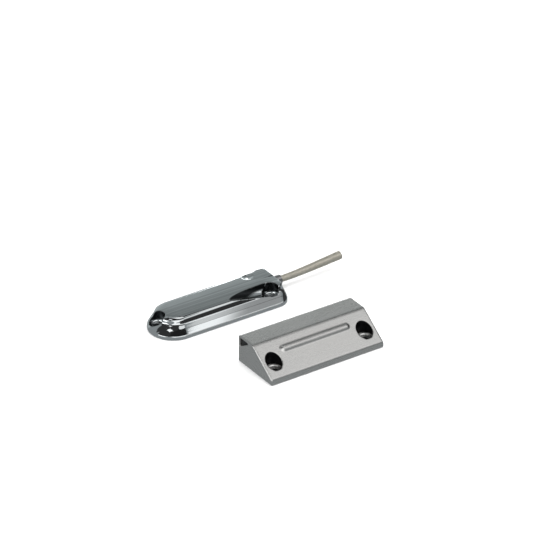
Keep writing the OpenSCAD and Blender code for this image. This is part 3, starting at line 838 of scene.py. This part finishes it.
def add_world():
    """White round the floor; polished faces see a mid grey room instead."""
    world = bpy.data.worlds.new("studio")
    bpy.context.scene.world = world
    world.use_nodes = True
    f = Finish(world.node_tree)
    room = f.node("ShaderNodeBackground", {}, {"Color": (1, 1, 1, 1), "Strength": 1.45})
    seen = f.node("ShaderNodeBackground", {}, {"Color": (0.93, 0.98, 1, 1), "Strength": 0.29})
    polished = f.node("ShaderNodeLightPath", out=3)
    shown = f.node("ShaderNodeMixShader", {}, {0: polished, 1: room, 2: seen})
    f.node("ShaderNodeOutputWorld", {}, {"Surface": shown})


def fading(axis, start, end, first, last):
    """A brightness that goes smoothly from one value to another along an axis."""
    return lambda f: f.ranged(f.along(axis), start, end, first, last)


def glowing_card(name, brightness, colour=(1, 1, 1)):
    """Give the card just added its glow, so that only polished faces show it."""
    card = settle(bpy.context.object)
    card.name = name
    made, f = material(name)
    strength = brightness(f) if callable(brightness) else brightness
    glow = f.node("ShaderNodeEmission", {}, {"Color": (*colour, 1), "Strength": strength})
    f.node("ShaderNodeOutputMaterial", {}, {"Surface": glow})
    card.data.materials.append(made)
    card.visible_camera = False
    card.visible_diffuse = False
    card.visible_shadow = False


def side_card(name, headings, heights, brightness, far=6, colour=(1, 1, 1)):
    """Card that faces the part. Its sides are headings from +Y towards +X and heights, in degrees."""
    h, v = math.radians(sum(headings) / 2), math.radians(sum(heights) / 2)
    towards = Vector((math.sin(h) * math.cos(v), math.cos(h) * math.cos(v), math.sin(v)))
    bpy.ops.mesh.primitive_plane_add(
        size=1, location=CAMERA_TARGET + far * towards, rotation=towards.to_track_quat("Z", "Y").to_euler())
    sides = [2 * far * math.tan(math.radians((b - a) / 2)) for a, b in (headings, heights)]
    bpy.context.object.scale = (sides[0] * math.cos(v), sides[1], 1)
    glowing_card(name, brightness, colour)


def overhead_card(name, level, left, right, front, back, brightness):
    """Level card above the part."""
    bpy.ops.mesh.primitive_plane_add(size=1, location=((left + right) / 2, (front + back) / 2, level))
    bpy.context.object.scale = (right - left, back - front, 1)
    glowing_card(name, brightness)


def upright_card(name, y, left, right, low, high, brightness):
    """Small upright card, level with the part and facing along Y."""
    bpy.ops.mesh.primitive_plane_add(
        size=1, location=((left + right) / 2, y, (low + high) / 2), rotation=(math.pi / 2, 0, 0))
    bpy.context.object.scale = (right - left, high - low, 1)
    glowing_card(name, brightness)


def add_lamp(name, place, size, power):
    data = bpy.data.lights.new(name, "AREA")
    data.shape = "SQUARE"
    data.size = size
    data.energy = power
    lamp = bpy.data.objects.new(name, data)
    lamp.location = place
    lamp.rotation_euler = (CAMERA_TARGET - Vector(place)).to_track_quat("-Z", "Y").to_euler()
    lamp.visible_glossy = False
    bpy.context.scene.collection.objects.link(lamp)


def add_studio():
    add_floor()
    add_world()
    add_lamp("overhead", (0.6, 0.0, 1.6), 1.2, 12)
    overhead_card("dark_ceiling", 1.5, -1.4, 0.66, -0.37, 0.08, 0.015)
    overhead_card("dark_ceiling_back", 1.5, -1.4, 0.36, 0.08, 0.9, 0.035)
    overhead_card("nose_window", 1.5, 0.36, 0.66, 0.08, 0.9, 0.9)
    overhead_card("dark_ceiling_edge", 1.5, 0.66, 1.2, 0.5, 1.1, 0.03)
    overhead_card("small_window", 1.2, -0.19, -0.01, 0.16, 0.35, 1.3)
    overhead_card("window_back", 0.7, 0.33, 0.6, -0.03, 0.24, fading(0, 0.345, 0.39, 0.7, 0.34))
    overhead_card("window_front", 0.7, 0.33, 0.6, -0.16, -0.03, fading(0, 0.355, 0.385, 1.15, 0.34))
    overhead_card("cover_window", 0.7, 0.2, 0.9, -0.6, -0.16, 0.85)
    side_card("front_softbox", (155, 220), (22, 68), 1.15)
    side_card("dark_front", (128, 153), (4, 22), 0.07)
    side_card("dark_right", (60, 118), (0, 40), 0.04)
    side_card("left_softbox", (-112, -72), (22, 54), 2.2)
    side_card("back_wall", (-20, 58), (-6, 45), fading(2, 1.5, 5, 0.46, 0.19), far=7, colour=(0.93, 1, 1))
    side_card("back_glint", (29, 38), (14, 20), 4)
    upright_card("dark_strip", 0.0237, -0.038, 0.045, 0.0063, 0.0113, 0.035)
    scene = bpy.context.scene
    scene.view_settings.view_transform = "Standard"
    scene.view_settings.look = "None"


add_camera()
cable, cable_stub = add_cable()
casting = add_switch_casting()
cover = add_magnet_cover()
add_finishes(casting, cover, cable, cable_stub)
add_studio()
